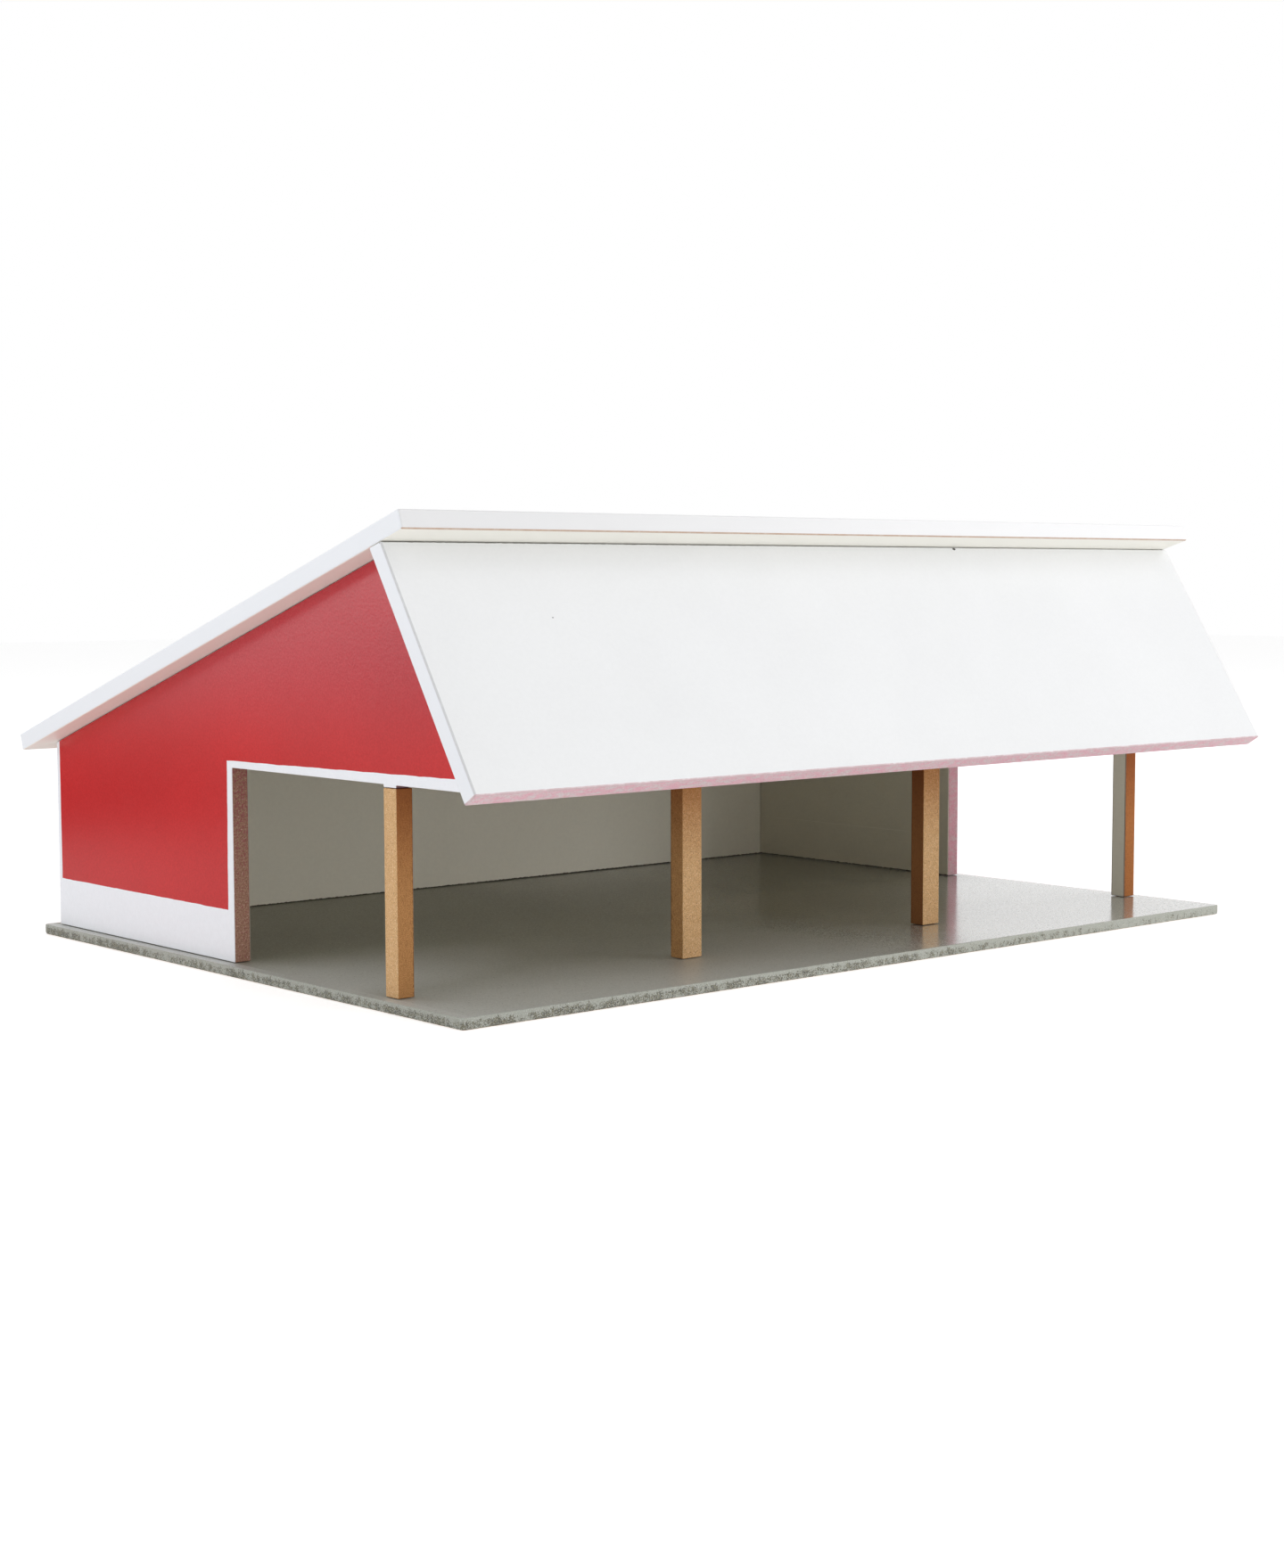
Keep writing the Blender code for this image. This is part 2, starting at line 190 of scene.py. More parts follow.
# Colours of the bare board
FIBRE_PALE = colour(250, 222, 182)
FIBRE_LIGHT = colour(231, 190, 138)
FIBRE_DEEP = colour(190, 146, 98)
FIBRE_DARK = colour(164, 118, 74)
FIBRE_FLECK = colour(112, 72, 40)
SAWN_LIGHT = colour(204, 147, 92)
SAWN = colour(158, 105, 58)
SAWN_DARK = colour(112, 70, 36)

# Colours of the painted boards' cut edges, arrises, lines and chips
SPRAY_RED = colour(150, 78, 84)
SPRAY_PINK = colour(226, 188, 194)
CUT_BROWN = colour(180, 140, 116)
CUT_DARK = colour(134, 96, 80)
PLUM = colour(112, 82, 88)
MIST_GREY = colour(220, 210, 210)
MIST_PINK = colour(230, 184, 195)
MIST_ROSE = colour(200, 132, 146)
ARRIS_RAGGED = colour(126, 84, 84)
ARRIS_TAN = colour(190, 160, 138)
ARRIS_GREY = colour(212, 212, 214)
ARRIS_PINK = colour(206, 180, 184)
FOOT_FIBRE_AND_SHADE = colour(84, 76, 62)
# Painted shade of the canopy's seam under the main roof
SEAM_SHADE = colour(118, 113, 107)
CHIP_DARK = colour(48, 42, 38)

# Colours of the base plate and of the steel
BASE_GREEN = colour(136, 136, 122)
# Darker for painted shade, and paler for painted light, on the plate's top
BASE_SHADED = colour(110, 109, 95)
BASE_LIT = colour(187, 189, 184)
BASE_EDGE = colour(160, 162, 153)
BASE_CHIP_LIGHT = colour(204, 207, 202)
BASE_CHIP_DARK = colour(62, 60, 51)
BASE_CHIP_OLIVE = colour(104, 99, 75)
STEEL_BRIGHT = colour(172, 170, 163)
STEEL_DULL = colour(146, 143, 134)

# Tints that multiply a colour
# Painted shade and orange bounce under the canopy, on the uprights' upper parts
CANOPY_SHADE_TINT = (0.66, 0.46, 0.32, 1.0)
JAMB_TINT = (0.70, 0.56, 0.58, 1.0)

# Roughness of sawn board, and how strongly each finish reflects
BARE_ROUGHNESS = 0.82
GABLE_CUT_ROUGHNESS = 0.85
CANOPY_CUT_ROUGHNESS = 0.8
BASE_CUT_ROUGHNESS = 0.75
LACQUER_SPECULAR = 0.5
GABLE_SPECULAR = 0.43
REAR_WALL_SPECULAR = 0.35
BARE_SPECULAR = 0.3

# Sockets of a Mix node that mixes colours
MIX_A = 6
MIX_B = 7
MIX_RESULT = 2


class Graph:
    """Adds nodes to one node tree. A value is a number, a colour or another node's output."""

    def __init__(self, tree):
        self.tree = tree
        self.object_space = None

    def feed(self, socket, value):
        if isinstance(value, bpy.types.NodeSocket):
            self.tree.links.new(value, socket)
        else:
            socket.default_value = value

    def add(self, kind, inputs, **settings):
        node = self.tree.nodes.new(kind)
        for key, value in settings.items():
            setattr(node, key, value)
        for key, value in inputs.items():
            self.feed(node.inputs[key], value)
        return node

    def maths(self, operation, a, b=0.0, clamp=False):
        node = self.add("ShaderNodeMath", {0: a, 1: b}, operation=operation, use_clamp=clamp)
        return node.outputs[0]

    def chain(self, operation, values):
        total = values[0]
        for value in values[1:]:
            total = self.maths(operation, total, value)
        return total

    def sum(self, *values):
        return self.chain("ADD", values)

    def product(self, *values):
        return self.chain("MULTIPLY", values)

    def most(self, *values):
        return self.chain("MAXIMUM", values)

    def least(self, *values):
        return self.chain("MINIMUM", values)

    def less(self, a, b):
        return self.maths("SUBTRACT", a, b)

    def inverse(self, value):
        return self.maths("SUBTRACT", 1.0, value, clamp=True)

    def unsigned(self, value):
        return self.maths("ABSOLUTE", value)

    def distance(self, across, along):
        """Length of the straight line that goes this far across and along."""
        squares = self.sum(self.product(across, across), self.product(along, along))
        return self.maths("POWER", squares, 0.5)

    def ramp(self, value, low, high, to_low=0.0, to_high=1.0):
        """value carried from low-high to to_low-to_high, smoothly and without passing either end."""
        ends = {"Value": value, "From Min": low, "From Max": high, "To Min": to_low, "To Max": to_high}
        node = self.add("ShaderNodeMapRange", ends, interpolation_type="SMOOTHSTEP")
        return node.outputs["Result"]

    def above(self, value, edge, softness=SOFTNESS):
        """1 where value passes edge, and 0 below it."""
        return self.ramp(self.less(value, edge), -softness, softness)

    def near(self, distance, reach=ARRIS):
        """1 within reach of a face, and 0 further in."""
        return self.above(reach, distance)

    def mix(self, factor, a, b, blend="MIX"):
        node = self.add("ShaderNodeMix", {"Factor": factor}, data_type="RGBA", blend_type=blend)
        self.feed(node.inputs[MIX_A], a)
        self.feed(node.inputs[MIX_B], b)
        return node.outputs[MIX_RESULT]

    def shaded(self, base, amount):
        """The colour multiplied by a number or a tint."""
        return self.mix(1.0, base, amount, blend="MULTIPLY")

    def space(self):
        """Object coordinates, which are the frame's own."""
        if self.object_space is None:
            self.object_space = self.add("ShaderNodeTexCoord", {}).outputs["Object"]
        return self.object_space

    def axes(self):
        node = self.add("ShaderNodeSeparateXYZ", {0: self.space()})
        return node.outputs

    def along(self, direction, start):
        """How far the point lies beyond start, measured in the direction."""
        node = self.add("ShaderNodeVectorMath", {0: self.space(), 1: direction}, operation="DOT_PRODUCT")
        return self.less(node.outputs["Value"], Vector(direction).dot(Vector(start)))

    def noise(self, scale, detail=2.0, roughness=0.5, distortion=0.0, stretch=(1.0, 1.0, 1.0)):
        """Noise over the point's coordinates, each multiplied by its share of stretch."""
        place = {"Vector": self.space(), "Scale": stretch, "Location": NOISE_PLACE}
        inputs = {
            "Vector": self.add("ShaderNodeMapping", place).outputs[0],
            "Scale": scale,
            "Detail": detail,
            "Roughness": roughness,
            "Distortion": distortion,
        }
        return self.add("ShaderNodeTexNoise", inputs).outputs["Fac"]

    def clouds(self, texture, *ends):
        """A noise carried through a ramp with these ends."""
        return self.ramp(self.noise(**texture), *ends)

    def mottle(self, texture, depth):
        """A noise round 1, depth either way."""
        return self.clouds(texture, NOISE_LOW, NOISE_HIGH, 1.0 - depth, 1.0 + depth)

    def wander(self, scale, reach):
        """A slow offset of up to about reach either way."""
        offset = self.less(self.noise(scale, detail=3.0), NOISE_MIDDLE)
        return self.product(offset, reach / WANDER_SHARE)

    def facet(self):
        """Normal of the flat facet itself, so that a board isn't shaded as if its faces were domed."""
        return self.add("ShaderNodeNewGeometry", {}).outputs["True Normal"]

    def bump(self, *layers):
        """Normal from layers, each a noise or another height, with its depth in metres."""
        normal = self.facet()
        for height, depth in layers:
            if isinstance(height, dict):
                height = self.noise(**height)
            inputs = {"Height": height, "Distance": depth, "Strength": 1.0, "Normal": normal}
            normal = self.add("ShaderNodeBump", inputs).outputs[0]
        return normal

    def layered(self, base, layers):
        """The base colour under layers of noise, as the tables below list them."""
        for texture, ends, tone in layers:
            base = self.mix(self.clouds(texture, *ends), base, tone)
        return base


def new_material(name):
    material = bpy.data.materials.new(name)
    material.use_nodes = True
    graph = Graph(material.node_tree)
    shader = material.node_tree.nodes["Principled BSDF"]
    return material, graph, shader


def set_finish(shader, graph, base, roughness, normal, specular):
    graph.feed(shader.inputs["Base Color"], base)
    graph.feed(shader.inputs["Roughness"], roughness)
    graph.feed(shader.inputs["Normal"], normal)
    shader.inputs["Specular IOR Level"].default_value = specular


# Fine grey grain: noise, depth either way
COAT_GRAIN = (dict(scale=500.0, detail=3.0, roughness=0.6), 0.015)
WHITE_GRAIN = (dict(scale=500.0, detail=3.0, roughness=0.6), 0.008)
GABLE_GRAIN = (dict(scale=400.0, detail=3.0, roughness=0.6), 0.012)
BASE_GRAIN = (dict(scale=1500.0, detail=3.0, roughness=0.6), 0.08)

# Layers of colour: noise, ends of the noise and of the layer's strength, colour
# Bare face of the board: pressed fibres in light tan, fine pale hairs and a few dark flecks
FIBRE_LAYERS = (
    (dict(scale=2700.0, detail=3.0, roughness=0.7), (0.36, 0.64), FIBRE_LIGHT),
    (dict(scale=420.0, detail=3.0, distortion=1.0), (0.42, 0.68, 0.0, 0.14), FIBRE_DARK),
    (dict(scale=2300.0, distortion=1.5, stretch=(1.0, 1.0, 0.55)), (0.54, 0.66, 0.0, 0.65), FIBRE_PALE),
    (dict(scale=1800.0, detail=1.0), (0.64, 0.72, 0.0, 0.55), FIBRE_FLECK),
)
# Sawn side of a strip: darker, with fine marks along its length
SAWN_LAYERS = (
    (dict(scale=2600.0, detail=3.0, roughness=0.7), (0.34, 0.66), SAWN_LIGHT),
    (dict(scale=1500.0, stretch=(1.0, 1.0, 0.3)), (0.45, 0.75, 0.0, 0.30), SAWN_DARK),
)
# Cut edge sealed with thin white over red overspray, mottled pink and grey
MIST_LAYERS = (
    (dict(scale=330.0, detail=4.0, roughness=0.7, stretch=(0.55, 1.0, 1.0)), (0.36, 0.62), MIST_PINK),
    (dict(scale=1200.0, detail=3.0, roughness=0.7), (0.40, 0.70, 0.0, 0.5), MIST_ROSE),
)


def fibre_face(graph):
    return graph.layered(FIBRE_DEEP, FIBRE_LAYERS)


def fibre_sawn(graph):
    return graph.layered(SAWN, SAWN_LAYERS)


def misted_edge(graph):
    return graph.layered(MIST_GREY, MIST_LAYERS)


def jamb_mist(graph):
    """The same mist, darker and redder, on the right gable's cut edges."""
    return graph.shaded(misted_edge(graph), JAMB_TINT)


def coated_face(graph, tone=COAT):
    """Factory coated inner face of the board, a warm white."""
    return graph.shaded(tone, graph.mottle(*COAT_GRAIN))


def foot_line(graph, inner, base):
    """Dark ragged line where the board's broken inner arris stands on the plate: torn fibres, and
    painted contact shade.
    """
    ragged = graph.sum(graph.axes()[Z], graph.wander(*FOOT_WANDER))
    line = graph.above(FOOT_Z + FOOT_LINE, ragged, RAGGED_SOFTNESS)
    return graph.mix(graph.product(inner, line), base, FOOT_FIBRE_AND_SHADE)


# Cut edge of the left gable and the rear wall: its fibres, the mist, and the ends of their layers
CUT_FIBRE = dict(scale=1300.0, detail=4.0, roughness=0.7)
CUT_MIST = dict(scale=900.0, detail=3.0, roughness=0.7)
CUT_BROWN_ENDS = (0.32, 0.68)
SPRAY_RED_ENDS = (0.52, 0.64, 0.0, 0.75)
SPRAY_PINK_ENDS = (0.575, 0.725, 0.0, 0.9)
# The mist is this much thinner at the floor and thicker at the doorway's top
MIST_GAIN = 0.06


def oversprayed_edge(graph):
    """Cut edge of a painted board: brown core under a broken mist of both paints, thicker higher up."""
    fibre = graph.noise(**CUT_FIBRE)
    mist = graph.noise(**CUT_MIST)
    height = graph.ramp(graph.axes()[Z], FLOOR_TOP_Z, DOORWAY_TOP_Z, -MIST_GAIN, MIST_GAIN)
    base = graph.mix(graph.ramp(fibre, *CUT_BROWN_ENDS), CUT_DARK, CUT_BROWN)
    base = graph.mix(graph.ramp(graph.sum(mist, height), *SPRAY_RED_ENDS), base, SPRAY_RED)
    return graph.mix(graph.ramp(fibre, *SPRAY_PINK_ENDS), base, SPRAY_PINK)


# Gable paint: a speckle of wear, which also varies the gloss
GABLE_SPECKLE = dict(scale=1100.0, detail=3.0, roughness=0.7)
GABLE_WEAR_ENDS = (0.35, 0.65)
GABLE_GLOSS_ENDS = (NOISE_LOW, NOISE_HIGH, 0.18, 0.24)
RED_MOTTLE = (dict(scale=9.0, detail=3.0), 0.05)
# Orange peel: noise, depth
GABLE_PEEL = (dict(scale=750.0), 0.00005)
GABLE_FINE_PEEL = (dict(scale=2600.0), 0.000015)
# The white lies this much over the red
WHITE_PAINT_DEPTH = 0.00004
# Strength of the torn fibres along the inner arris
GABLE_RAGGED_STRENGTH = 0.7


def gable_border(graph):
    """1 on the white plinth, the strip round the side doorway and the strip at the rear."""
    y, z = graph.axes()[Y:]
    wander = graph.wander(*PAINT_LINE_WANDER)
    plinth = graph.above(graph.sum(PLINTH_TOP_Z, wander), z)
    header_start = HEADER_LINE_Z - HEADER_LINE_RISE * HEADER_LINE_Y
    header_line = graph.sum(header_start, graph.product(y, HEADER_LINE_RISE), wander)
    strip = graph.ramp(z, PLINTH_TOP_Z, HEADER_LINE_Z, JAMB_STRIP_FOOT, JAMB_STRIP_TOP)
    jamb_line = graph.sum(strip, JAMB_Y, wander)
    doorway = graph.product(graph.above(jamb_line, y), graph.above(header_line, z))
    rear = graph.above(y, graph.sum(REAR_Y - REAR_STRIP, wander))
    return graph.most(plinth, doorway, rear)


def gable_red(graph, speckle):
    """Red with a fine speckle of wear, and a pinker haze higher up, which is a painted reflection."""
    high = graph.ramp(graph.axes()[Z], HEADER_LINE_Z, PAINTED_HAZE_TOP_Z)
    fresh = graph.mix(high, RED, RED_PAINTED_HAZE)
    worn = graph.mix(high, RED_WORN, RED_WORN_PAINTED_HAZE)
    red = graph.mix(graph.ramp(speckle, *GABLE_WEAR_ENDS), fresh, worn)
    return graph.shaded(red, graph.mottle(*RED_MOTTLE))


def gable_material(name, cut_edge):
    """Red and white outside, the coated face inside, and cut_edge's look on the sawn edges."""
    material, graph, shader = new_material(name)
    x, y, z = graph.axes()
    side = graph.less(graph.unsigned(x), GABLE_MID_X)
    outer = graph.above(side, BOARD / 2 - FACE_BAND)
    inner = graph.above(graph.product(side, -1.0), BOARD / 2 - FACE_BAND)
    border = gable_border(graph)
    speckle = graph.noise(**GABLE_SPECKLE)
    white = graph.shaded(GABLE_WHITE, graph.mottle(*GABLE_GRAIN))
    face = graph.mix(border, gable_red(graph, speckle), white)
    base = graph.mix(outer, cut_edge(graph), face)
    stub_top = graph.above(DOORWAY_TOP_Z - FACE_BAND, z)
    stub = graph.product(stub_top, graph.above(STUB_REAR_Y, y), graph.inverse(outer))
    base = graph.mix(stub, base, PLUM)
    ragged = graph.sum(side, graph.wander(*RAGGED_WANDER))
    broken = graph.above(RAGGED_REACH - BOARD / 2, ragged, RAGGED_SOFTNESS)
    base = graph.mix(graph.product(broken, GABLE_RAGGED_STRENGTH), base, ARRIS_RAGGED)
    base = foot_line(graph, inner, graph.mix(inner, base, coated_face(graph, COAT_DULL)))
    gloss = graph.ramp(speckle, *GABLE_GLOSS_ENDS)
    sawn = graph.inverse(graph.most(outer, inner))
    roughness = graph.most(gloss, graph.product(sawn, GABLE_CUT_ROUGHNESS))
    normal = graph.bump((border, WHITE_PAINT_DEPTH), GABLE_PEEL, GABLE_FINE_PEEL)
    set_finish(shader, graph, base, roughness, normal, GABLE_SPECULAR)
    return material


# Rear wall's paint: the same, but duller
REAR_SPECKLE = dict(scale=1300.0, detail=3.0, roughness=0.7)
REAR_WEAR_ENDS = (0.35, 0.72, 0.0, 0.6)
REAR_GLOSS_ENDS = (NOISE_LOW, NOISE_HIGH, 0.42, 0.52)
# Roller texture of the paint: noise, depth
PAINT_BUMP = ((dict(scale=900.0), 0.00002), (dict(scale=2600.0), 0.00001))


def rear_wall_material():
    """Painted like the gables outside, with a white strip at each end, and coated inside."""
    material, graph, shader = new_material("rear_wall_paint")
    x, y, z = graph.axes()
    low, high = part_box("rear_wall")
    outer = graph.above(y, high[Y] - FACE_BAND)
    inner = graph.above(low[Y] + FACE_BAND, y)
    wander = graph.wander(*PAINT_LINE_WANDER)
    plinth = graph.above(graph.sum(PLINTH_TOP_Z, wander), z)
    corner = graph.above(graph.unsigned(x), graph.sum(high[X] - REAR_STRIP, wander))
    speckle = graph.noise(**REAR_SPECKLE)
    red = graph.mix(graph.ramp(speckle, *REAR_WEAR_ENDS), RED, RED_WORN)
    face = graph.mix(graph.most(plinth, corner), red, GABLE_WHITE)
    base = graph.mix(outer, oversprayed_edge(graph), face)
    base = foot_line(graph, inner, graph.mix(inner, base, coated_face(graph)))
    roughness = graph.ramp(speckle, *REAR_GLOSS_ENDS)
    set_finish(shader, graph, base, roughness, graph.bump(*PAINT_BUMP), REAR_WALL_SPECULAR)
    return material


# Bare strips: name, axis and side of the bare face, tint of the sawn sides. The tints paint light on
# post_1's sawn sides and shade on post_2's; the right leg's are darker and redder
UPRIGHTS = (
    ("leg_left", X, -1, (0.95, 1.0, 1.0)),
    ("leg_right", X, 1, (0.87, 0.67, 0.50)),
    ("post_1", Y, -1, (1.03, 1.20, 1.35)),
    ("post_2", Y, -1, (0.62, 0.56, 0.52)),
)
# Painted shade of the canopy, with its orange bounce: the strips grow darker and redder between these
# heights, all but the legs' bare faces
CANOPY_SHADE_ENDS = (0.045, 0.100)
# Fuzz of the sawn board: noise, depth
STRIP_FUZZ = (dict(scale=1800.0, detail=4.0, roughness=0.7), 0.00008)
# Strength of the torn fibres along the coated face's arrises
STRIP_RAGGED_STRENGTH = 0.8


def upright_material(name, axis, outward, tint):
    """Bare strip: board face on the outward side, coated face opposite, tinted sawn sides, and painted
    shade towards the top.
    """
    material, graph, shader = new_material(name)
    low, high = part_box(name)
    position = graph.axes()[axis]
    at_low = graph.above(low[axis] + FACE_BAND, position)
    at_high = graph.above(position, high[axis] - FACE_BAND)
    if outward > 0:
        bare, coated = at_high, at_low
        to_coated = graph.less(position, low[axis])
    else:
        bare, coated = at_low, at_high
        to_coated = graph.less(high[axis], position)
    height = graph.ramp(graph.axes()[Z], *CANOPY_SHADE_ENDS)
    shade_share = graph.inverse(bare) if axis == X else 1.0
    # Tinted sawn sides: painted light on post_1's, painted shade on post_2's
    sawn = graph.shaded(fibre_sawn(graph), (*tint, 1.0))
    base = graph.mix(bare, sawn, fibre_face(graph))
    # Painted shade: darker and redder towards the top, under the canopy
    base = graph.mix(graph.product(height, shade_share), base, graph.shaded(base, CANOPY_SHADE_TINT))
    base = graph.mix(coated, base, coated_face(graph))
    ragged = graph.sum(to_coated, graph.wander(*RAGGED_WANDER))
    side_axis = Y if axis == X else X
    across = graph.axes()[side_axis]
    to_side = graph.least(graph.less(across, low[side_axis]), graph.less(high[side_axis], across))
    broken = graph.product(graph.near(ragged, RAGGED_REACH), graph.near(to_side, RAGGED_REACH))
    base = graph.mix(graph.product(broken, STRIP_RAGGED_STRENGTH), base, SAWN_DARK)
    set_finish(shader, graph, base, BARE_ROUGHNESS, graph.bump(STRIP_FUZZ), BARE_SPECULAR)
    return material


# White lacquer of both roofs: its clouds and its gloss
LACQUER_CLOUD = dict(scale=14.0, detail=3.0)
LACQUER_CLOUD_ENDS = (NOISE_LOW, NOISE_HIGH, 0.985, 1.01)
LACQUER_GLOSS = dict(scale=700.0)
LACQUER_GLOSS_ENDS = (NOISE_LOW, NOISE_HIGH, 0.40, 0.48)
# Painted shade and light on the main roof's front edge: darker at the left, lighter at the right
FRONT_SHADE_ENDS = (-CANOPY_END_X, CANOPY_END_X, 0.93, 1.08)
# Breaks in the arris lines: noise, ends of the noise, least strength of each arris
ARRIS_BREAKS = dict(scale=220.0, detail=4.0, roughness=0.7)
ARRIS_BREAK_ENDS = (0.30, 0.60)
ROOF_ARRIS_LEAST = 0.8
END_ARRIS_LEAST = 0.75
LOW_ARRIS_LEAST = 0.35
# The painted seam shade fades towards the right
SEAM_ENDS = (-CANOPY_END_X, CANOPY_END_X, 0.8, 0.0)
# Chips in the canopy's paint: place along the shed, distance down from the ridge, radius, strength
CANOPY_CHIPS = (
    (0.0912, 0.0034, 0.0015, 1.0),
    (-0.1969, 0.0417, 0.0007, 0.7),
)
# A chip is this many times as long as high, and full strength over this share of its radius
CHIP_SQUASH = 1.6
CHIP_CORE_SHARE = 0.5


def white_face(graph):
    """White lacquer with a trace of cloud in it."""
    clouded = graph.shaded(WHITE, graph.clouds(LACQUER_CLOUD, *LACQUER_CLOUD_ENDS))
    return graph.shaded(clouded, graph.mottle(*WHITE_GRAIN))


def arris_line(graph, mask, base, tone, least):
    """A thin line along an arris, broken more in some places than others; the tan one shows the board
    through the paint.
    """
    broken = graph.clouds(ARRIS_BREAKS, *ARRIS_BREAK_ENDS, least, 1.0)
    return graph.mix(graph.product(mask, broken), base, tone)


def main_roof_material():
    """White lacquer, bare coated board below between the gables, and a thin tan front arris."""
    material, graph, shader = new_material("main_roof_white")
    from_middle = graph.unsigned(graph.axes()[X])
    height = graph.less(graph.along(OFF_ROOF, RIDGE), SEAT_GAP)
    from_front = graph.less(ROOF_FRONT_OVERHANG, graph.along(UP_ROOF, RIDGE))
    from_end = graph.less(ROOF_END_X, from_middle)
    in_front = graph.above(LEG_FRONT_Y, graph.axes()[Y])
    outside = graph.most(graph.above(from_middle, GABLE_MID_X), in_front)
    # Front edge with painted shade at the left and painted light at the right
    front = graph.shaded(EDGE_WHITE, graph.ramp(graph.axes()[X], *FRONT_SHADE_ENDS))
    base = graph.mix(graph.near(from_front, FACE_BAND), white_face(graph), front)
    base = graph.mix(graph.near(from_end, FACE_BAND), base, END_WHITE)
    under = graph.mix(outside, coated_face(graph), UNDER_WHITE)
    base = graph.mix(graph.near(height, FACE_BAND), base, under)
    low_arris = graph.product(graph.near(height, ROOF_LINE), graph.near(from_front, ROOF_LINE))
    base = arris_line(graph, low_arris, base, ARRIS_TAN, ROOF_ARRIS_LEAST)
    roughness = graph.clouds(LACQUER_GLOSS, *LACQUER_GLOSS_ENDS)
    set_finish(shader, graph, base, roughness, graph.bump(*PAINT_BUMP), LACQUER_SPECULAR)
    return material


def canopy_chips(graph, base, on_outer):
    """Small dark chips in the outer face's paint."""
    for chip_x, chip_down, radius, strength in CANOPY_CHIPS:
        across = graph.less(graph.axes()[X], chip_x)
        down = graph.product(graph.less(graph.along(DOWN_CANOPY, RIDGE), chip_down), CHIP_SQUASH)
        spot = graph.ramp(graph.distance(across, down), radius * CHIP_CORE_SHARE, radius, strength, 0.0)
        base = graph.mix(graph.product(spot, on_outer), base, CHIP_DARK)
    return base


def front_canopy_material():
    """White outer face and ends, a pink misted lower edge, and a bare inner face between the gables."""
    material, graph, shader = new_material("front_canopy_white")
    from_middle = graph.unsigned(graph.axes()[X])
    height = graph.less(graph.along(OFF_CANOPY, RIDGE), SEAT_GAP)
    from_outer = graph.less(ROOF_THICKNESS, height)
    from_low = graph.less(CANOPY_FOOT, graph.along(DOWN_CANOPY, RIDGE))
    from_end = graph.less(CANOPY_END_X, from_middle)
    sawn = graph.near(from_low, FACE_BAND)
    inner = graph.product(graph.near(height, FACE_BAND), graph.above(GABLE_MID_X, from_middle))
    base = graph.mix(inner, white_face(graph), fibre_face(graph))
    base = graph.mix(graph.near(from_end, FACE_BAND), base, END_WHITE)
    base = graph.mix(sawn, base, misted_edge(graph))
    # Painted shade of the seam where the canopy meets the roof
    ragged = graph.sum(graph.along(DOWN_CANOPY, RIDGE), graph.wander(*SEAM_WANDER))
    at_top = graph.near(graph.less(ragged, CANOPY_TOP), SEAM_LINE)
    thinner = graph.ramp(graph.axes()[X], *SEAM_ENDS)
    on_outer = graph.near(from_outer, SEAM_REACH)
    base = graph.mix(graph.product(on_outer, at_top, thinner), base, SEAM_SHADE)
    base = canopy_chips(graph, base, on_outer)
    at_outer = graph.near(from_outer)
    at_end = graph.near(from_end)
    end_arris = graph.product(at_outer, at_end)
    low_arris = graph.product(graph.near(from_low), graph.most(at_outer, at_end))
    # A grey line along the canopy's end arris, and a pinkish one along its low arrises
    base = arris_line(graph, end_arris, base, ARRIS_GREY, END_ARRIS_LEAST)
    base = arris_line(graph, low_arris, base, ARRIS_PINK, LOW_ARRIS_LEAST)
    roughness = graph.clouds(LACQUER_GLOSS, *LACQUER_GLOSS_ENDS)
    roughness = graph.most(roughness, graph.product(graph.most(sawn, inner), CANOPY_CUT_ROUGHNESS))
    set_finish(shader, graph, base, roughness, graph.bump(*PAINT_BUMP), LACQUER_SPECULAR)
    return material


# Base plate's paint: a slow drift, which keeps the areas below from having straight borders
BASE_DRIFT = dict(scale=6.0, detail=4.0)
BASE_DRIFT_GAIN = 0.12
# Painted light: the paint is paler on the front lip, and less and less behind it
LIP_ENDS = (-0.165, -0.015, 0.85, 0.0)
# The side doorways get the same painted light, each over an oval this many times as long as it is deep
DOORWAY_MIDDLE = (0.255, -0.075)
DOORWAY_SQUASH = 1.8
DOORWAY_ENDS = (0.02, 0.17, 1.0, 0.0)
# Painted shade: the paint grows darker towards the right, between these places
RIGHT_SHADE_ENDS = (-0.07, 0.09)
# Its shine grows from the left to the right, and is less at the rear
SHINE_LEFT = -0.10
SHINE_RIGHT = 0.12
SHINE_REAR_ENDS = (-0.05, 0.06, 1.0, 0.5)
# Roughness and clear coat where the shine is none and where it is full
SHINE_ROUGHNESS_ENDS = (0.0, 1.0, 0.45, 0.17)
SHINE_COAT_ENDS = (0.0, 1.0, 0.1, 0.95)
BASE_COAT_ROUGHNESS = 0.16
# Clouds in the paint, and a fine grain in its roughness: noise, depth either way
BASE_MOTTLE = (dict(scale=11.0, detail=4.0), 0.05)
BASE_FINE = (dict(scale=1200.0, detail=3.0, roughness=0.7), 0.3)
# Fine relief, whose hollows are also duller, and slow waves
BASE_CRACKLE = dict(scale=850.0, detail=3.0, roughness=0.7)
BASE_CRACKLE_DEPTH = 0.00003
BASE_WAVES = (dict(scale=160.0), 0.00002)
MATT_SPOT_ENDS = (0.36, 0.56, 0.55, 1.0)
# Pale dust and dark specks, as layers
BASE_LAYERS = (
    (dict(scale=900.0, detail=1.0), (0.68, 0.74, 0.0, 0.5), BASE_CHIP_LIGHT),
    (dict(scale=800.0, detail=1.0, stretch=(1.0, 1.0, 1.4)), (0.68, 0.76, 0.0, 0.6), BASE_CHIP_DARK),
)
# A facet that faces more than this far up is the top, and this far down the underside
FACING = 0.8
FACING_SOFTNESS = 0.1


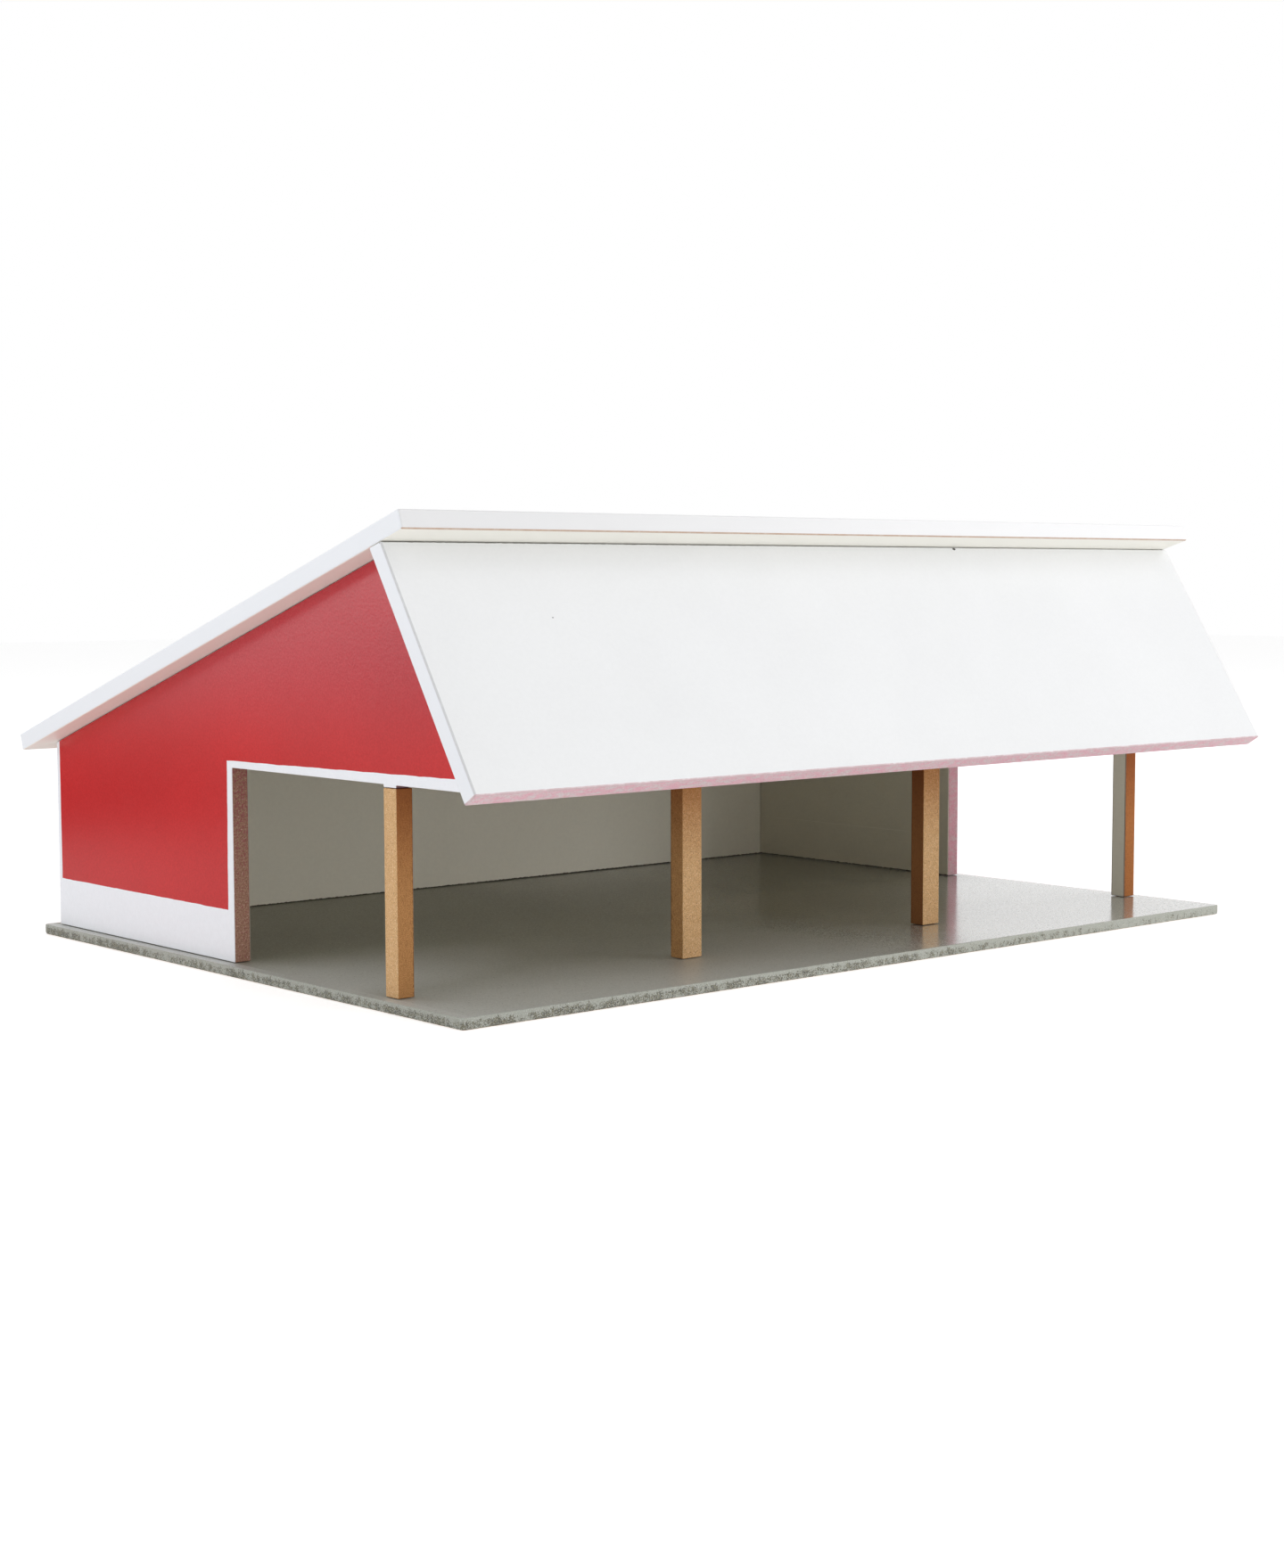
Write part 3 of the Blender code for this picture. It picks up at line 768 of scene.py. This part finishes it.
def base_paint(graph, drift):
    """Grey green paint, mottled and specked, with painted light on the lip, in the doorways and outside
    the gables, and painted shade to the right.
    """
    x, y = graph.axes()[:Z]
    from_middle = graph.unsigned(x)
    lip = graph.ramp(graph.sum(y, drift), *LIP_ENDS)
    across = graph.less(from_middle, DOORWAY_MIDDLE[X])
    along = graph.product(graph.less(y, DOORWAY_MIDDLE[Y]), DOORWAY_SQUASH)
    doorway = graph.ramp(graph.sum(graph.distance(across, along), drift), *DOORWAY_ENDS)
    # Painted light where the plate lies open: the lip, the doorways and outside the gables
    lit_share = graph.most(lip, doorway, graph.above(from_middle, GABLE_OUTER_X))
    right_shade = graph.ramp(graph.sum(x, drift), *RIGHT_SHADE_ENDS)
    paint = graph.mix(lit_share, graph.mix(right_shade, BASE_GREEN, BASE_SHADED), BASE_LIT)
    paint = graph.shaded(paint, graph.mottle(*BASE_MOTTLE))
    paint = graph.shaded(paint, graph.mottle(*BASE_GRAIN))
    return graph.layered(paint, BASE_LAYERS)


def base_material():
    """Semi-gloss grey green paint, its sawn edges mottled where the paint sank in, bare below."""
    material, graph, shader = new_material("base_grey_paint")
    x, y = graph.axes()[:Z]
    facing = graph.add("ShaderNodeSeparateXYZ", {0: graph.facet()}).outputs[Z]
    top = graph.above(facing, FACING, FACING_SOFTNESS)
    under = graph.above(-FACING, facing, FACING_SOFTNESS)
    drift = graph.product(graph.less(graph.noise(**BASE_DRIFT), NOISE_MIDDLE), BASE_DRIFT_GAIN)
    base = graph.mix(top, sunk_edge(graph), base_paint(graph, drift))
    base = graph.mix(under, base, fibre_face(graph))
    shine = graph.product(
        graph.ramp(graph.sum(x, drift), SHINE_LEFT, SHINE_RIGHT),
        graph.ramp(graph.sum(y, drift), *SHINE_REAR_ENDS),
    )
    roughness = graph.product(graph.ramp(shine, *SHINE_ROUGHNESS_ENDS), graph.mottle(*BASE_FINE))
    roughness = graph.most(roughness, graph.product(graph.inverse(top), BASE_CUT_ROUGHNESS))
    crackle = graph.noise(**BASE_CRACKLE)
    normal = graph.bump((crackle, BASE_CRACKLE_DEPTH), BASE_WAVES)
    set_finish(shader, graph, base, roughness, normal, LACQUER_SPECULAR)
    matt_spots = graph.ramp(crackle, *MATT_SPOT_ENDS)
    coat = graph.product(top, graph.ramp(shine, *SHINE_COAT_ENDS), matt_spots)
    graph.feed(shader.inputs["Coat Weight"], coat)
    shader.inputs["Coat Roughness"].default_value = BASE_COAT_ROUGHNESS
    return material


# Base plate's sawn edge: how bare it is by depth, by patch, by longer stretch and by place
EDGE_DEPTH_ENDS = (0.0001, 0.0026, 0.28, 0.50)
EDGE_PATCHES = dict(scale=300.0, detail=3.0, roughness=0.6, stretch=(1.0, 1.0, 0.7))
EDGE_PATCH_GAIN = 0.75
EDGE_STRETCHES = dict(scale=45.0)
EDGE_STRETCH_GAIN = 0.30
EDGE_PLACE_ENDS = (SHINE_LEFT, GABLE_OUTER_X, 0.02, -0.12)
EDGE_FIBRES = dict(scale=1350.0, detail=3.0, roughness=0.7)
EDGE_BROKEN_ENDS = (-0.10, 0.06, 0.0, 0.85)
# Painted light on the edge: lifted towards the middle, and as much over the right half
EDGE_LIGHT_ENDS = (-GABLE_OUTER_X, 0.0, 1.05, 1.17)
EDGE_DARK_LAYERS = (
    (dict(scale=900.0), (0.4, 0.6), BASE_CHIP_OLIVE),
)
EDGE_PALE_LAYERS = (
    (dict(scale=2000.0, roughness=0.7), (0.54, 0.64, 0.0, 0.75), BASE_CHIP_LIGHT),
)


def sunk_edge(graph):
    """Base plate's sawn edge: pale paint over the top arris, dark fibres where it sank in below."""
    x = graph.axes()[X]
    z = graph.axes()[Z]
    bare = graph.sum(
        graph.ramp(graph.less(FLOOR_TOP_Z, z), *EDGE_DEPTH_ENDS),
        graph.product(graph.less(graph.noise(**EDGE_PATCHES), NOISE_MIDDLE), EDGE_PATCH_GAIN),
        graph.product(graph.less(graph.noise(**EDGE_STRETCHES), NOISE_MIDDLE), EDGE_STRETCH_GAIN),
        graph.ramp(x, *EDGE_PLACE_ENDS),
    )
    broken = graph.ramp(graph.less(bare, graph.noise(**EDGE_FIBRES)), *EDGE_BROKEN_ENDS)
    edge = graph.mix(broken, BASE_EDGE, graph.layered(BASE_CHIP_DARK, EDGE_DARK_LAYERS))
    edge = graph.layered(edge, EDGE_PALE_LAYERS)
    # Painted light, stronger towards the middle and right
    return graph.shaded(edge, graph.ramp(x, *EDGE_LIGHT_ENDS))


# Plated steel: turning marks and clouds
STEEL_MARKS = dict(scale=1800.0, stretch=(1.0, 1.0, 6.0))
STEEL_MARK_DEPTH = 0.000006
STEEL_ROUGHNESS_ENDS = (NOISE_LOW, NOISE_HIGH, 0.26, 0.44)
STEEL_LAYERS = (
    (dict(scale=260.0, detail=3.0), (0.35, 0.65), STEEL_BRIGHT),
)


def steel_material():
    """Plated steel of the screws and pins, faintly clouded, with fine turning marks."""
    material, graph, shader = new_material("steel")
    marks = graph.noise(**STEEL_MARKS)
    roughness = graph.ramp(marks, *STEEL_ROUGHNESS_ENDS)
    normal = graph.bump((marks, STEEL_MARK_DEPTH))
    base = graph.layered(STEEL_DULL, STEEL_LAYERS)
    set_finish(shader, graph, base, roughness, normal, LACQUER_SPECULAR)
    shader.inputs["Metallic"].default_value = 1.0
    return material


def dress(node_name, material):
    """Give a CAD node its material."""
    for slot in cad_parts[node_name].material_slots:
        slot.material = material


def set_camera():
    forward = Vector((
        math.sin(CAMERA_YAW) * math.cos(CAMERA_PITCH),
        math.cos(CAMERA_YAW) * math.cos(CAMERA_PITCH),
        math.sin(CAMERA_PITCH),
    ))
    level = Vector((math.cos(CAMERA_YAW), -math.sin(CAMERA_YAW), 0.0))
    above = level.cross(forward)
    right = level * math.cos(CAMERA_ROLL) + above * math.sin(CAMERA_ROLL)
    up = above * math.cos(CAMERA_ROLL) - level * math.sin(CAMERA_ROLL)
    turn = Matrix((right, up, -forward)).transposed().to_4x4()
    data = bpy.data.cameras.new("camera")
    data.sensor_fit = "HORIZONTAL"
    data.sensor_width = SENSOR_WIDTH
    data.lens = FOCAL_PIXELS / IMAGE_WIDTH * SENSOR_WIDTH
    data.clip_start = CLIP_START
    camera = bpy.data.objects.new("camera", data)
    bpy.context.scene.collection.objects.link(camera)
    camera.matrix_world = Matrix.Translation(CAMERA_PLACE) @ turn
    bpy.context.scene.camera = camera


def set_world():
    """White where it is seen, directly or in gloss, and a weaker fill where it only lights."""
    world = bpy.data.worlds.new("studio")
    bpy.context.scene.world = world
    world.use_nodes = True
    graph = Graph(world.node_tree)
    background = world.node_tree.nodes["Background"]
    background.inputs["Color"].default_value = WHITE_LIGHT
    path = graph.add("ShaderNodeLightPath", {}).outputs
    seen = graph.sum(path["Is Camera Ray"], path["Is Glossy Ray"])
    seen = graph.maths("ADD", seen, path["Is Transmission Ray"], clamp=True)
    strength = graph.ramp(seen, 0.0, 1.0, FILL_STRENGTH, BACKGROUND_STRENGTH)
    graph.feed(background.inputs["Strength"], strength)


def add_softbox(name, place, size, power, in_gloss):
    data = bpy.data.lights.new(name, "AREA")
    data.shape = "RECTANGLE"
    data.size, data.size_y = size
    data.energy = power
    light = bpy.data.objects.new(name, data)
    bpy.context.scene.collection.objects.link(light)
    light.location = place
    light.rotation_euler = (TARGET - Vector(place)).to_track_quat("-Z", "Y").to_euler()
    light.visible_camera = False
    light.visible_glossy = in_gloss


def add_floor():
    """A pale floor with a faint glow of its own, lifted for the camera to meet the background."""
    bpy.ops.mesh.primitive_plane_add(size=FLOOR_SIZE)
    floor = bpy.context.object
    floor.name = "studio_floor"
    material, graph, shader = new_material("studio_floor")
    graph.feed(shader.inputs["Base Color"], FLOOR_TONE)
    graph.feed(shader.inputs["Roughness"], FLOOR_ROUGHNESS)
    graph.feed(shader.inputs["Specular IOR Level"], FLOOR_SPECULAR)
    graph.feed(shader.inputs["Emission Color"], WHITE_LIGHT)
    path = graph.add("ShaderNodeLightPath", {}).outputs
    glow = graph.product(graph.inverse(path["Is Glossy Ray"]), FLOOR_GLOW)
    lift = graph.sum(graph.product(path["Is Camera Ray"], FLOOR_LIFT), glow)
    graph.feed(shader.inputs["Emission Strength"], lift)
    floor.data.materials.append(material)


def add_flag():
    """A dark card on the floor behind the left gable, seen only by its gloss, as a studio sets one."""
    bpy.ops.mesh.primitive_plane_add(size=1.0, location=FLAG_PLACE, rotation=(0.0, 0.0, FLAG_TURN))
    flag = bpy.context.object
    flag.name = "studio_flag"
    flag.scale = FLAG_SIZE
    material, graph, shader = new_material("studio_flag")
    graph.feed(shader.inputs["Base Color"], FLAG_TONE)
    graph.feed(shader.inputs["Roughness"], FLAG_ROUGHNESS)
    flag.data.materials.append(material)
    flag.visible_camera = False
    flag.visible_diffuse = False
    flag.visible_shadow = False


set_camera()
set_world()
for lamp in LAMPS:
    add_softbox(*lamp)
add_floor()
add_flag()
steel = steel_material()
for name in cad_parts:
    if name.startswith(("screw", "roof_pin", "canopy_pin")):
        dress(name, steel)
dress("gable_left", gable_material("gable_left_paint", oversprayed_edge))
dress("gable_right", gable_material("gable_right_paint", jamb_mist))
for name, *look in UPRIGHTS:
    dress(name, upright_material(name, *look))
dress("rear_wall", rear_wall_material())
dress("main_roof", main_roof_material())
dress("front_canopy", front_canopy_material())
dress("base_plate", base_material())

bpy.context.scene.view_settings.view_transform = "Standard"
